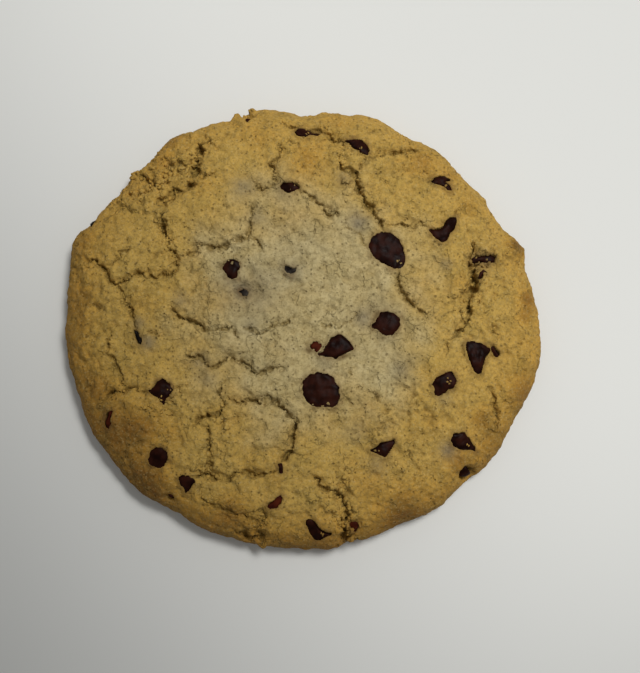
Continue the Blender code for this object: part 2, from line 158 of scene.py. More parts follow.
# What shows of each chip from above: its place, how far it stands over the crust, and the corners of
# its torn edge, all in millimetres.
CHIP_SHOWS = {
    1: (-3.0, 29.0, -0.1, (
        (-1.9, 0.3), (-1.1, 0.9), (0.5, 1.0), (1.8, 0.5), (2.3, -0.3), (1.2, -1.0), (-0.3, -1.1),
        (-1.4, -0.6),
    )),
    2: (12.3, 38.8, 0.1, (
        (-3.4, 1.3), (-2.2, 1.3), (-1.0, 1.4), (0.5, 1.3), (1.7, 0.2), (2.2, -1.2), (1.8, -2.3),
        (0.7, -1.9), (-0.2, -1.1), (-1.4, -0.5), (-2.2, 0.5),
    )),
    3: (-0.2, 42.4, 0.0, (
        (-1.5, -0.2), (-0.9, 0.6), (0.2, 0.8), (1.2, 0.3), (2.2, -0.4), (4.1, -0.7), (2.9, -1.0),
        (1.7, -0.9), (0.7, -1.5), (-0.2, -1.3), (-1.1, -0.9),
    )),
    4: (30.7, 31.3, 0.2, (
        (-2.4, -0.5), (-1.8, 0.3), (-0.7, 0.7), (0.5, 0.9), (1.5, 0.3), (0.5, -0.4), (1.7, -1.3),
        (1.9, -2.3), (1.1, -2.2), (0.1, -1.3), (-1.0, -1.0), (-1.9, -1.0),
    )),
    5: (30.4, 20.0, 0.4, (
        (2.9, 2.3), (3.0, 1.3), (2.4, -0.1), (1.4, -0.9), (1.3, -1.8), (0.7, -2.9), (-0.2, -3.1),
        (-1.4, -2.4), (-2.4, -1.3), (-2.8, -0.5), (-0.7, -0.2), (0.2, 0.5), (0.7, 1.7), (1.7, 2.3),
    )),
    6: (18.1, 14.7, 0.1, (
        (-3.8, 0.7), (-3.4, 2.4), (-2.2, 3.6), (-0.5, 4.1), (1.2, 3.7), (2.6, 2.4), (3.4, 0.7), (3.8, -1.0),
        (3.9, -2.4), (2.9, -3.6), (1.4, -3.7), (0.0, -2.9), (-1.4, -2.2), (-2.9, -1.2),
    )),
    7: (39.6, 13.5, -0.1, (
        (-2.9, -0.5), (-2.4, 0.3), (-1.4, 0.6), (0.0, 0.7), (1.4, 0.8), (2.2, 0.3), (1.9, -0.7),
        (0.0, -1.0), (-0.7, -0.5), (-2.3, -1.1),
    )),
    8: (38.9, 8.9, 0.0, ((-0.6, 1.4), (0.1, 1.8), (0.6, 1.4), (0.0, 0.8), (-0.5, -0.1), (-0.9, 0.2))),
    9: (-15.2, 10.5, 0.1, (
        (-1.5, 1.3), (-0.7, 2.0), (0.5, 2.1), (1.5, 1.5), (1.7, 0.5), (1.1, -0.5), (0.9, -1.6), (0.1, -1.9),
        (-0.9, -1.4), (-1.3, -0.4), (-1.8, 0.5),
    )),
    10: (-12.4, 5.7, -0.1, ((-1.0, 0.2), (-0.2, 0.5), (0.5, 0.4), (0.8, -0.2), (0.4, -0.7), (-0.3, -0.5))),
    11: (-2.5, 10.4, -0.1, (
        (-1.3, 0.9), (-0.6, 0.8), (0.2, 0.3), (1.2, 0.3), (0.9, -0.3), (0.0, -0.7), (-0.8, -0.4),
        (-1.2, 0.2),
    )),
    12: (18.1, -1.2, 0.3, (
        (-3.3, -0.2), (-2.5, 0.2), (-1.9, 1.3), (-1.4, 2.3), (-0.2, 2.5), (1.4, 2.2), (2.5, 1.3),
        (2.6, 0.0), (2.0, -1.3), (1.0, -2.2), (-0.2, -2.5), (-1.3, -1.9), (-2.0, -1.1), (-3.0, -0.9),
    )),
    13: (7.6, -6.3, 0.5, (
        (-4.3, -1.3), (-3.3, -1.1), (-2.4, 0.2), (-1.4, 1.8), (0.0, 2.5), (1.3, 2.2), (2.3, 1.1),
        (3.3, -0.4), (1.8, -1.1), (0.5, -1.8), (-0.5, -2.3), (-1.9, -1.9), (-4.1, -1.8),
    )),
    14: (1.2, -5.8, 0.1, (
        (0.4, 0.0), (1.1, 0.7), (1.9, 0.8), (2.6, 0.2), (2.5, -0.7), (1.9, -1.6), (1.2, -1.1), (0.6, -0.6),
    )),
    15: (3.9, -15.4, 0.15, (
        (-3.8, 0.2), (-3.5, 1.9), (-2.2, 3.1), (-0.5, 3.5), (1.4, 3.3), (2.9, 2.2), (3.6, 0.7), (3.9, -1.0),
        (3.6, -2.9), (2.4, -3.7), (1.3, -3.4), (0.0, -3.5), (-1.4, -3.3), (-2.9, -2.4), (-3.6, -1.2),
    )),
    16: (37.5, -8.0, 0.4, (
        (-2.3, 2.9), (-1.0, 3.0), (0.5, 2.7), (2.4, 1.8), (2.7, 1.3), (1.9, 0.2), (1.1, -1.4), (0.7, -3.4),
        (-0.1, -3.7), (-1.0, -2.9), (-1.5, -1.2), (-2.2, 0.5), (-2.4, 1.9),
    )),
    17: (42.4, -6.6, 0.0, (
        (-1.7, 0.7), (-1.3, 1.1), (-0.6, 0.1), (0.0, -0.7), (-0.4, -1.3), (-1.2, -1.1), (-1.6, -0.2),
    )),
    18: (30.0, -14.0, 0.3, (
        (-2.0, -1.4), (-2.2, -0.2), (-1.7, 0.9), (-0.7, 1.5), (0.5, 2.3), (1.7, 2.4), (2.5, 1.4),
        (2.6, 0.2), (1.9, -0.7), (1.0, -1.1), (0.2, -1.9), (-1.0, -2.5), (-1.7, -2.2),
    )),
    19: (17.0, -27.5, 0.15, (
        (-2.6, -0.5), (-1.4, -0.1), (-0.5, 0.9), (1.0, 1.3), (2.3, 1.5), (2.4, 1.0), (1.7, -0.2),
        (1.1, -1.3), (0.5, -1.9), (-0.5, -1.5), (-1.4, -1.1),
    )),
    20: (34.3, -26.0, 0.3, (
        (-2.5, 0.2), (-2.2, 1.3), (-1.2, 1.5), (0.0, 1.7), (0.7, 1.1), (1.4, 0.0), (2.4, -1.3), (2.5, -2.0),
        (1.4, -1.7), (0.0, -1.8), (-1.2, -1.4), (-2.2, -1.0),
    )),
    22: (-29.8, -15.3, 0.3, (
        (-2.8, -0.1), (-1.7, 0.4), (-0.9, 1.7), (0.0, 2.4), (0.7, 1.7), (1.7, 1.0), (2.3, -0.1),
        (1.5, -1.1), (1.0, -1.9), (0.5, -3.0), (-0.1, -2.9), (-0.4, -1.9), (-1.2, -1.1), (-2.2, -0.7),
    )),
    23: (-30.7, -29.5, 0.0, (
        (-2.0, -0.1), (-1.7, 1.2), (-0.5, 2.0), (1.0, 1.9), (1.9, 1.0), (2.1, -0.2), (1.5, -1.4),
        (0.5, -2.2), (-0.9, -1.9), (-1.7, -1.2),
    )),
    24: (-24.8, -34.7, 0.1, (
        (-1.3, 0.9), (-0.5, 1.3), (0.7, 1.2), (1.7, 0.7), (1.9, -0.1), (1.1, -0.7), (0.7, -1.7),
        (0.0, -2.2), (-0.2, -1.1), (-1.0, -0.4),
    )),
    26: (3.1, -43.8, 0.1, (
        (-2.3, 1.0), (-1.4, 1.3), (-0.6, 0.9), (0.1, -0.2), (1.0, -1.1), (2.9, -1.8), (1.9, -2.3),
        (0.7, -2.9), (-0.4, -2.8), (-1.2, -1.9), (-1.8, -0.7),
    )),
    27: (-5.7, -38.7, 0.0, (
        (-1.5, -1.3), (-1.3, -0.6), (-0.5, -0.2), (0.2, 0.7), (1.1, 1.2), (1.5, 0.7), (1.1, -0.4),
        (0.4, -1.1), (-0.5, -1.5), (-1.2, -1.7),
    )),
    28: (11.6, -43.6, 0.0, (
        (-1.3, 0.1), (-0.7, 0.6), (0.1, 0.5), (0.4, -0.2), (-0.1, -0.9), (-0.2, -1.5), (-0.8, -1.2),
        (-1.2, -0.6),
    )),
    29: (-35.4, -5.4, 0.0, (
        (-0.7, 3.0), (-0.1, 2.7), (0.4, 1.9), (0.9, 1.1), (0.7, 0.1), (0.1, 0.2), (-0.2, 1.2), (-0.5, 2.0),
    )),
    30: (-42.3, -21.1, 0.0, (
        (0.5, 1.3), (1.7, 1.5), (1.3, 0.7), (0.9, 0.0), (1.1, -1.0), (0.7, -2.0), (0.1, -1.7), (-0.1, -0.7),
        (0.2, 0.2),
    )),
    33: (-4.8, -31.9, 0.0, ((-0.3, 0.9), (0.4, 1.0), (0.7, 0.1), (0.6, -0.9), (0.0, -1.0), (-0.1, 0.0))),
}
# How far each of them reaches under the crust round it, and how deep it goes.
UNDER_CRUST = 0.5
CHIP_DEPTH = 3.0
# The chips that look out at the rim: how much smaller than its solid each is, and how far in it moves.
RIM_CHIPS = (21, 25, 31, 32)
SHRUNK_AT_RIM = 0.3
MOVED_IN = 0.6
# A height well over the cookie, to look straight down from.
ABOVE = 30.0
DOWN = Vector((0, 0, -1))
dough_solid = surface_of([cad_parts["baked_dough"]])


def crust_round(x, y, reach):
    """The crust's height in millimetres at a chip, and its two slopes, from twelve points round it."""
    heights, slope_x, slope_y = [], 0.0, 0.0
    for k in range(12):
        turn = math.pi * k / 6
        above = Vector((x + reach * math.cos(turn), y + reach * math.sin(turn), ABOVE)) * MM
        height = dough_solid.ray_cast(above, DOWN)[0].z / MM
        heights.append(height)
        slope_x += height * math.cos(turn) / 6 / reach
        slope_y += height * math.sin(turn) / 6 / reach
    return sum(sorted(heights)[3:9]) / 6, slope_x, slope_y


def finish_of(number):
    """The chocolate that this chip is made of."""
    if number in SMEARED:
        return smeared_chocolate
    return dusted_chocolate if number in DUSTED else dark_chocolate


skin = bpy.data.textures.new("melted_skin", "CLOUDS")
skin.noise_scale = 1.3 * MM
chips, openings = [], []
for number, (x, y, stand, corners) in CHIP_SHOWS.items():
    node = f"chip_{number:02d}"
    reach = max(math.hypot(*corner) for corner in corners)
    level, slope_x, slope_y = crust_round(x, y, reach + 1.0)
    openings.append((node, x, y, level, slope_x, slope_y, stand, [(x + a, y + b) for a, b in corners]))
    under = 1 + UNDER_CRUST / reach
    places = []
    for a, b in corners:
        height = level + slope_x * a + slope_y * b + stand
        places.append(Vector((x + a * under, y + b * under, height)) * MM)
    mesh = bpy.data.meshes.new(f"chocolate_{number:02d}")
    mesh.from_pydata(places, [], [list(range(len(places)))])
    chip = new_piece(mesh.name, mesh)
    bpy.ops.object.mode_set(mode="EDIT")
    bpy.ops.mesh.select_all(action="SELECT")
    bpy.ops.mesh.extrude_region_move(TRANSFORM_OT_translate={"value": (0, 0, -CHIP_DEPTH * MM)})
    bpy.ops.mesh.select_all(action="SELECT")
    bpy.ops.mesh.normals_make_consistent(inside=False)
    bpy.ops.object.mode_set(mode="OBJECT")
    voxel = (0.22 if reach > 2 else 0.15) * MM
    apply_modifier(chip, "set body", "REMESH", mode="VOXEL", voxel_size=voxel, use_smooth_shade=True)
    for vertex in chip.data.vertices:
        if vertex.normal.z > 0.6:
            off = math.hypot(vertex.co.x / MM - x, vertex.co.y / MM - y) / reach
            vertex.co.z += (0.35 + stand) * max(0.0, 1 - off * off) * MM
    apply_modifier(chip, "melted skin", "DISPLACE", texture=skin, texture_coords="LOCAL", strength=0.6 * MM)
    apply_modifier(chip, "melted edges", "SMOOTH", factor=0.5, iterations=12)
    bpy.ops.object.shade_smooth()
    chip.data.materials.append(finish_of(number))
    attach(chip, "root")
    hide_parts(node)
    chips.append(chip)
for number in RIM_CHIPS:
    chip = merged_copy(f"chip_{number:02d}", f"chocolate_{number:02d}")
    apply_modifier(chip, "soft edges", "SUBSURF", levels=2, render_levels=2)
    middle = sum((vertex.co for vertex in chip.data.vertices), Vector()) / len(chip.data.vertices)
    outward = Vector((middle.x, middle.y, 0)).normalized()
    for vertex in chip.data.vertices:
        vertex.co = vertex.co.lerp(middle, SHRUNK_AT_RIM) - outward * MOVED_IN * MM
    bpy.ops.object.shade_smooth()
    chip.data.materials.append(finish_of(number))
    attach(chip, "root")
    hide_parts(f"chip_{number:02d}")
    chips.append(chip)

# Baked dough
# One round of soft-baked dough: a dry, sandy crust that spread, browned at its rim and split into
# plates while its inside was still rising, so that rough crumb shows in the cracks. Butter and sugar
# leave it matt.

# Cracks in the crust, from above in millimetres: width, depth and route.
CRACKS = (
    (1.5, 1.3, (
        (8.1, 36.4), (8.3, 33.8), (9.9, 33.2), (11.6, 31.3), (12.0, 28.9), (13.5, 26.5), (14.6, 24.7),
        (16.3, 22.0), (17.7, 19.6),
    )),
    (0.8, 0.9, ((17.7, 20.0), (19.3, 20.9), (21.5, 21.0), (23.9, 20.1), (25.2, 21.3), (27.2, 20.4))),
    (0.9, 1.0, (
        (20.5, 10.6), (20.5, 7.9), (21.0, 5.9), (22.2, 4.4), (24.2, 2.5), (25.4, 1.4), (27.2, 1.0),
    )),
    (0.8, 0.8, ((14.0, 36.0), (13.0, 34.6), (12.2, 33.0))),
    (1.0, 1.0, ((-4.2, 44.1), (-0.2, 42.6), (3.8, 42.7), (6.0, 40.7), (10.8, 39.0), (14.0, 36.0))),
    (0.7, 0.6, ((14.0, 36.0), (17.8, 37.3), (21.6, 37.9), (26.8, 38.9))),
    (0.8, 0.9, ((-5.0, 39.4), (-4.8, 38.0), (-5.6, 36.1), (-7.2, 34.3), (-6.5, 32.4), (-6.0, 30.4))),
    (0.7, 0.8, ((-0.8, 28.3), (2.2, 26.5), (4.4, 24.4), (5.7, 22.9), (7.0, 23.1), (8.3, 22.7))),
    (0.8, 0.8, ((-10.8, 30.9), (-9.9, 29.7), (-8.8, 28.6), (-7.6, 29.3), (-5.5, 29.4))),
    (0.6, 0.6, ((9.4, 19.7), (11.3, 19.1), (12.4, 18.4), (12.8, 16.9), (13.9, 15.5))),
    (1.3, 1.3, (
        (-20.8, 40.9), (-22.3, 39.4), (-23.3, 36.8), (-23.6, 34.3), (-24.0, 31.7), (-24.4, 29.9),
        (-25.5, 28.4),
    )),
    (1.5, 1.3, ((-25.5, 28.4), (-27.9, 29.0), (-30.2, 26.3))),
    (1.0, 1.2, (
        (-30.3, 23.4), (-30.6, 20.2), (-28.9, 18.0), (-29.1, 15.7), (-27.7, 14.6), (-27.5, 12.4),
        (-27.4, 10.6),
    )),
    (0.8, 0.8, ((-24.0, 31.0), (-21.0, 31.6), (-18.5, 32.4))),
    (0.9, 0.9, ((-37.0, 34.0), (-34.5, 31.5), (-31.5, 29.5))),
    (0.8, 1.0, (
        (-47.6, 12.3), (-45.2, 13.5), (-44.0, 11.9), (-42.5, 10.2), (-41.6, 8.4), (-40.4, 7.8),
        (-38.5, 8.4), (-37.0, 9.5),
    )),
    (1.0, 1.2, (
        (-37.0, 9.5), (-35.5, 10.3), (-34.2, 9.4), (-33.1, 8.9), (-30.7, 9.6), (-28.5, 9.4), (-27.2, 10.8),
    )),
    (0.6, 0.7, ((-43.0, 11.5), (-40.5, 13.0), (-38.6, 15.2), (-37.0, 16.0))),
    (0.7, 0.9, ((-25.9, 13.7), (-23.2, 15.0), (-22.2, 16.3))),
    (1.3, 1.1, ((-22.2, 16.3), (-20.2, 15.8), (-16.7, 15.8), (-14.8, 17.1))),
    (0.8, 0.9, ((-14.8, 17.1), (-13.4, 17.5), (-11.8, 18.0), (-11.7, 19.8), (-10.7, 23.1), (-11.0, 25.4))),
    (0.6, 0.6, ((-11.8, 18.0), (-10.0, 17.0), (-9.0, 15.6), (-8.4, 14.0))),
    (0.7, 0.8, ((-40.4, 7.8), (-38.9, 6.4), (-38.4, 4.2), (-37.0, 2.0), (-36.3, -0.2), (-35.6, -3.2))),
    (0.6, 0.9, ((-33.1, -3.1), (-31.3, -3.1), (-29.5, -3.7))),
    (0.9, 0.7, (
        (-41.5, -1.4), (-41.3, -4.9), (-42.1, -7.5), (-40.2, -9.2), (-39.0, -12.0), (-38.0, -14.6),
    )),
    (0.8, 0.9, (
        (-28.6, 2.7), (-27.3, 1.6), (-26.2, 0.6), (-24.3, -0.6), (-22.9, -0.7), (-20.8, -2.3),
        (-19.5, -2.9),
    )),
    (0.9, 1.0, ((-19.5, -2.9), (-17.1, -2.3), (-15.0, -2.2), (-13.9, -3.7), (-13.1, -4.5))),
    (0.6, 0.7, (
        (-12.4, -2.2), (-9.8, -2.6), (-8.8, -3.5), (-6.9, -2.2), (-5.2, -1.5), (-3.3, -0.8), (-1.6, 0.6),
    )),
    (0.6, 0.6, ((3.8, -1.0), (7.8, -2.0), (10.4, -0.7), (11.6, 1.2))),
    (0.8, 0.9, (
        (-25.6, -8.0), (-23.1, -8.3), (-21.3, -8.4), (-20.5, -9.6), (-19.5, -10.5), (-16.9, -9.6),
        (-15.6, -8.1),
    )),
    (0.9, 0.9, (
        (-15.6, -8.1), (-13.0, -9.7), (-11.3, -10.3), (-10.0, -11.9), (-8.1, -11.4), (-6.4, -10.5),
        (-4.2, -11.0),
    )),
    (0.8, 1.0, ((-16.6, -13.5), (-17.9, -14.9), (-17.2, -16.8), (-16.7, -17.7))),
    (1.0, 1.0, (
        (-16.7, -17.7), (-17.2, -19.2), (-18.0, -20.8), (-20.0, -20.8), (-22.3, -21.6), (-22.8, -23.4),
    )),
    (0.7, 1.0, (
        (-16.2, -16.9), (-13.6, -18.1), (-12.1, -18.4), (-11.7, -16.9), (-9.7, -17.5), (-8.7, -18.4),
        (-7.2, -16.9),
    )),
    (0.9, 1.1, ((-7.2, -16.9), (-5.3, -18.2), (-3.2, -20.2), (-0.9, -21.7))),
    (1.2, 1.2, ((-0.9, -21.7), (-1.9, -24.4), (-2.4, -27.9), (-3.8, -29.3), (-4.7, -31.8))),
    (0.8, 0.9, ((-20.4, -22.4), (-19.6, -25.0), (-19.8, -28.4), (-18.6, -30.0))),
    (1.2, 1.1, ((-24.8, -34.7), (-22.2, -33.3), (-20.1, -33.3), (-17.0, -34.1))),
    (0.8, 0.9, (
        (-17.0, -34.1), (-15.4, -34.1), (-14.0, -32.6), (-12.0, -32.5), (-9.5, -33.3), (-6.6, -33.1),
        (-4.3, -32.4),
    )),
    (1.6, 0.9, ((-19.6, -28.4), (-19.4, -31.2), (-20.6, -33.2))),
    (1.0, 0.8, (
        (-21.6, -38.0), (-20.1, -39.1), (-17.6, -40.0), (-14.6, -41.2), (-13.1, -41.8), (-9.0, -43.0),
    )),
    (1.0, 1.2, ((-14.7, -44.6), (-13.2, -45.4), (-10.7, -46.5), (-8.3, -46.2))),
    (0.7, 0.8, ((-8.6, -40.6), (-8.0, -42.6), (-8.2, -44.6))),
    (1.3, 1.5, ((37.3, 17.5), (36.9, 15.3), (36.2, 12.3), (37.4, 8.0), (36.5, 6.1), (35.6, 5.0))),
    (1.0, 1.2, ((35.6, 5.0), (36.2, 3.1), (35.9, 1.1), (35.0, -1.7), (33.3, -3.3), (30.9, -4.4))),
    (0.6, 0.6, ((30.2, -4.4), (31.0, -6.4), (30.6, -8.0))),
    (1.1, 1.1, ((2.1, -33.5), (4.4, -36.0), (6.5, -36.6), (8.6, -38.5), (9.7, -40.6))),
    (1.1, 1.4, ((9.7, -40.6), (8.6, -42.7), (9.3, -45.6), (9.1, -47.9))),
    (1.0, 0.9, (
        (-42.4, -17.1), (-41.5, -16.2), (-39.7, -15.5), (-36.7, -14.8), (-35.0, -15.5), (-32.8, -15.6),
    )),
    (0.6, 0.6, ((-27.5, -15.6), (-25.6, -14.4), (-24.0, -14.8))),
    (0.6, 0.6, ((40.8, -0.8), (41.5, -2.7), (42.4, -4.4))),
    (0.8, 0.7, ((40.4, -14.6), (41.5, -19.2), (42.0, -21.5), (41.4, -24.0))),
    (0.6, 0.6, ((34.3, 25.1), (33.4, 23.8), (32.6, 22.1))),
    (0.6, 0.6, ((11.0, -11.0), (10.0, -12.0), (9.6, -12.8))),
    (0.6, 0.6, ((12.5, -14.6), (11.0, -15.6))),
    (0.6, 0.6, ((14.6, -15.8), (15.8, -17.0), (16.6, -17.6))),
    (0.6, 0.6, ((17.4, 31.6), (18.4, 30.4), (19.4, 29.4))),
    (0.6, 0.5, ((-47.0, 3.0), (-45.0, 3.2), (-43.6, 2.4))),
    (0.6, 0.5, ((-45.6, -3.0), (-43.8, -3.4))),
)
# How close the points of a crack lie and how far it wanders off its route, in millimetres.
CRACK_SPACING = 0.25
WANDER = 0.5
# Spots on the crust: place from above, size in millimetres and strength. Some are crumbly, some gold or brown
# from the oven, and the brown ones at the lower left rim darken it as painted shade as well. Some are greyish
# where a chip lies just under the skin; the greyish one at (9, 31) is painted shade in the valley of a crack,
# and the wide one at (-11, 5) is painted shade standing for the dense pinholes there.
CRUMBLY = (
    (-33, 29, 3.1, 1.0), (-30, 35, 3.3, 1.0), (-26, 33, 3.3, 1.0), (-31, 23, 2.6, 0.8),
    (-38, 34, 2.6, 0.7), (-40, 27, 3.1, 0.6), (-23, 38, 2.6, 0.6), (-14, 47, 2.2, 0.3),
    (-12, 47, 2.6, 0.3), (-29, 16, 2.2, 0.8), (8, -37, 2.2, 0.9), (9, -42, 2.2, 1.0),
    (10, -45, 2.2, 1.0), (-21, -32, 1.8, 0.8), (-29, -18, 3.1, 0.7), (11, 29, 2.2, 0.7),
    (38, 12, 3.1, 0.7), (38, 4, 2.6, 0.6), (9, 38, 2.2, 0.7), (-10, -45, 3.1, 0.6),
    (-35, 40, 1.8, 0.6), (21, -32, 2.6, 0.4), (-16, -21, 1.8, 0.5), (10, -33, 3.1, 0.5),
)
GOLDEN = (
    (1, 35, 4.6, 0.75), (-22, 30, 2.6, 0.45), (-9, 40, 3.3, 0.4), (26, 35, 3.8, 0.6),
    (36, 25, 2.6, 0.6), (34, 8, 2.0, 0.5), (47, 17, 2.0, 0.9), (49, 5, 2.2, 0.7), (48, 1, 1.8, 0.5),
    (38, -21, 2.9, 0.6), (28, -22, 2.6, 0.4), (33, -30, 2.9, 0.5), (14, -35, 4.0, 0.55),
    (-28, -25, 3.1, 0.6), (-34, -24, 3.1, 0.5), (-11, -31, 2.6, 0.35), (-6, -34, 2.2, 0.45),
    (-26, 28, 1.8, 0.3), (-34, 3, 2.6, 0.25), (-29, 42, 2.6, 0.3), (47, -15, 4.4, 0.35),
    (21, -40, 4.9, 0.5), (-15, -40, 3.5, 0.5), (-47, 5, 3.1, 0.3), (8, 45, 3.5, 0.25),
    (33, 33, 2.2, 0.4), (-19, 4, 3.1, 0.2),
)
BROWNED = (
    (-37, -22, 6.5, 0.6), (-33, -34, 5.0, 0.4), (-42, -14, 5.0, 0.3), (-46, -2, 4.0, 0.15),
    (40, -24, 5.0, 0.2),
)
GREYISH = (
    (-13, 29, 2.6, 0.6), (-10, 22, 2.2, 0.5), (-26, 4, 1.8, 0.45), (-35, -1, 1.5, 0.6),
    (-33, -5, 1.8, 0.8), (12, 21, 2.4, 0.9), (13, 0, 2.2, 0.7), (31, 12, 1.5, 0.5),
    (39, 13, 2.6, 0.4), (-22, -9, 2.2, 0.5), (-20, -13, 2.2, 0.4), (21, -11, 2.4, 0.6),
    (12, -24, 2.2, 0.35), (31, -28, 2.0, 0.8), (-2, 10, 2.4, 0.6), (-4, 28, 2.6, 0.4),
    (-11, -2, 2.0, 0.4), (-13, 6, 1.5, 0.5), (5, -10, 2.2, 0.4), (9, 31, 2.0, 0.5),
    (-16, 8, 2.6, 0.35), (18, -3, 2.6, 0.35), (16, 3, 2.6, 0.35), (-1, 15, 6.6, 0.15),
    (-11, 5, 5.5, 0.5), (-8, 9, 4.0, 0.2), (20, 1, 2.6, 0.3), (30, -17, 2.0, 0.4), (16, -31, 2.4, 0.4),
)
# The pale middle of the crust and how far it reaches, and the way, in degrees, to the side of the rim away
# from the
# light, which is painted darkest: painted shade.
PALE_MIDDLE = (1.0, 2.0)
PALE_REACH = 34.0
SHADED_RIM_TURN = 250
# Half the cookie's width and depth.
HALF_WIDTH = 52.5
HALF_DEPTH = 49.2

dough = merged_copy("baked_dough", "cookie_dough")
# The pockets are filled first, level with the crust, so that each can be opened again with a torn edge.
for node, x, y, level, slope_x, slope_y, stand, edge in openings:
    filling = merged_copy(node, "filling")
    apply_modifier(filling, "fill the gap", "DISPLACE", strength=0.5 * MM, mid_level=0.0)
    for vertex in filling.data.vertices:
        flat = level + slope_x * (vertex.co.x / MM - x) + slope_y * (vertex.co.y / MM - y)
        vertex.co.z = max(0.6 * MM, min(vertex.co.z, flat * MM))
    alone(dough)
    filling.select_set(True)
    bpy.ops.object.join()
apply_modifier(dough, "even grain", "REMESH", mode="VOXEL", voxel_size=0.4 * MM, use_smooth_shade=True)
apply_modifier(dough, "round the facets", "SMOOTH", factor=0.5, iterations=30)
# Clods of torn dough at the crumbly upper left and beside the cracks: place from above, size and how
# far they stand out, in millimetres.
CLODS = (
    (-26.8, 39.4, 4.2, 0.5), (-31.8, 36.0, 3.4, 0.6), (-35.1, 32.7, 3.6, 0.6), (-36.2, 30.1, 3.2, 0.5),
    (-26.3, 31.7, 3.0, 0.7), (-27.9, 34.6, 2.6, 0.6), (-23.5, 41.6, 3.2, 0.4), (-19.7, 42.7, 3.2, 0.4),
    (-32.3, 29.0, 2.6, 0.5), (-40.0, 22.8, 3.0, 0.4), (-42.9, 25.0, 2.4, 0.4), (-15.0, 46.4, 2.8, 0.5),
    (-11.5, 47.8, 2.4, 0.6), (-46.2, 14.0, 2.2, 0.4), (-29.6, 22.2, 2.2, 0.4), (-24.9, 21.0, 2.6, 0.3),
    (10.6, 33.6, 2.6, 0.4), (9.4, 30.2, 2.2, 0.4), (5.4, 41.2, 2.2, 0.4), (-22.5, -31.8, 2.0, 0.5),
    (7.0, -35.2, 2.4, 0.4), (10.8, -43.4, 2.2, 0.5), (7.6, -41.6, 2.0, 0.5), (38.4, 6.4, 2.4, 0.4),
    (38.8, 15.4, 2.2, 0.5), (34.8, 14.8, 2.0, 0.3), (-30.2, -19.6, 2.0, 0.5), (-27.6, -18.0, 1.8, 0.5),
    (45.4, 15.2, 5.6, 0.3), (49.0, 3.0, 2.6, 0.4), (-38.6, -12.0, 2.2, 0.3), (-12.0, -45.8, 2.4, 0.4),
)
rng = random.Random(7)
placed = list(CLODS)
for x, y, size, strength in CRUMBLY:
    for k in range(round(3.5 * strength * size)):
        spot = (rng.gauss(x, size * 0.8), rng.gauss(y, size * 0.8))
        placed.append(spot + (rng.uniform(1.1, 2.6), rng.uniform(0.25, 0.5)))
clods = []
for x, y, size, stands in placed:
    height = dough_solid.ray_cast(Vector((x, y, ABOVE)) * MM, DOWN)[0]
    if height is None or height.z < 4 * MM:
        continue
    middle = height + Vector((0, 0, stands - size * 0.36)) * MM
    turn = (rng.uniform(-0.4, 0.4), rng.uniform(-0.4, 0.4), rng.uniform(0, 3.1))
    radius = size / 2 * MM
    bpy.ops.mesh.primitive_ico_sphere_add(subdivisions=2, radius=radius, location=middle, rotation=turn)
    bpy.ops.transform.resize(value=(rng.uniform(0.9, 1.3), rng.uniform(0.8, 1.0), 0.72), orient_type="LOCAL")
    bpy.ops.object.transform_apply(location=True, rotation=True, scale=True)
    clods.append(bpy.context.object)
alone(dough)
for clod in clods:
    clod.select_set(True)
bpy.ops.object.join()
apply_modifier(dough, "even grain again", "REMESH", mode="VOXEL", voxel_size=0.34 * MM, use_smooth_shade=True)


def wave(x, y, size, seed):
    """Smooth unevenness between about -1 and 1, with lumps this many millimetres across."""
    return noise.noise(Vector((x / size, y / size, seed)))


def smoothstep(low, high, value):
    """A soft step from 0 to 1 between two values."""
    share = min(1.0, max(0.0, (value - low) / (high - low)))
    return share * share * (3 - 2 * share)


def spotted(spots, x, y):
    """How strongly these spots mark a place, up to 1."""
    marked = sum(s * math.exp(-(((x - sx) ** 2 + (y - sy) ** 2) / size**2)) for sx, sy, size, s in spots)
    return min(1.0, marked)


# The cracks as points along wandering routes, each with its own half width and depth.
crack_points = []
for width, depth, route in CRACKS:
    length = sum(math.dist(a, b) for a, b in zip(route, route[1:]))
    run = 0.0
    for (x0, y0), (x1, y1) in zip(route, route[1:]):
        steps = max(1, round(math.dist((x0, y0), (x1, y1)) / CRACK_SPACING))
        for step in range(steps):
            share = step / steps
            x, y = x0 + (x1 - x0) * share, y0 + (y1 - y0) * share
            fade = min(1.0, 0.3 + min(run, length - run) / 2.5)
            wide = max(0.14, width / 2 * fade * (0.7 + 1.1 * wave(x, y, 1.5, 31.0)))
            deep = depth * fade * (1 + 0.6 * wave(x, y, 2.2, 37.0))
            x += WANDER * (wave(x, y, 2.0, 21.0) + 0.6 * wave(x, y, 0.9, 22.0))
            y += WANDER * (wave(x, y, 2.0, 25.0) + 0.6 * wave(x, y, 0.9, 26.0))
            crack_points.append((x, y, wide, deep))
            run += math.dist((x0, y0), (x1, y1)) / steps
cracks = KDTree(len(crack_points))
for k, (x, y, wide, deep) in enumerate(crack_points):
    cracks.insert((x, y, 0.0), k)
cracks.balance()

rim_chips = surface_of(chips[-len(RIM_CHIPS) :])


def near_crack(x, y):
    """Distance in millimetres to the nearest crack, torn by fine noise, and its half width and depth."""
    torn_x = x + 0.3 * wave(x, y, 0.5, 61.0) + 0.5 * wave(x, y, 1.2, 62.0)
    torn_y = y + 0.3 * wave(x, y, 0.5, 63.0) + 0.5 * wave(x, y, 1.2, 64.0)
    _, k, distance = cracks.find((torn_x, torn_y, 0.0))
    return distance, crack_points[k][2], crack_points[k][3]


def past_edge(x, y, edge):
    """Distance in millimetres from a place to a chip's edge, less than 0 inside it."""
    nearest, inside = 1e9, False
    for (x0, y0), (x1, y1) in zip(edge, edge[1:] + edge[:1]):
        along_x, along_y = x1 - x0, y1 - y0
        share = ((x - x0) * along_x + (y - y0) * along_y) / (along_x**2 + along_y**2)
        share = min(1.0, max(0.0, share))
        nearest = min(nearest, math.hypot(x - x0 - share * along_x, y - y0 - share * along_y))
        if (y0 > y) != (y1 > y) and x < x0 + along_x * (y - y0) / along_y:
            inside = not inside
    return -nearest if inside else nearest


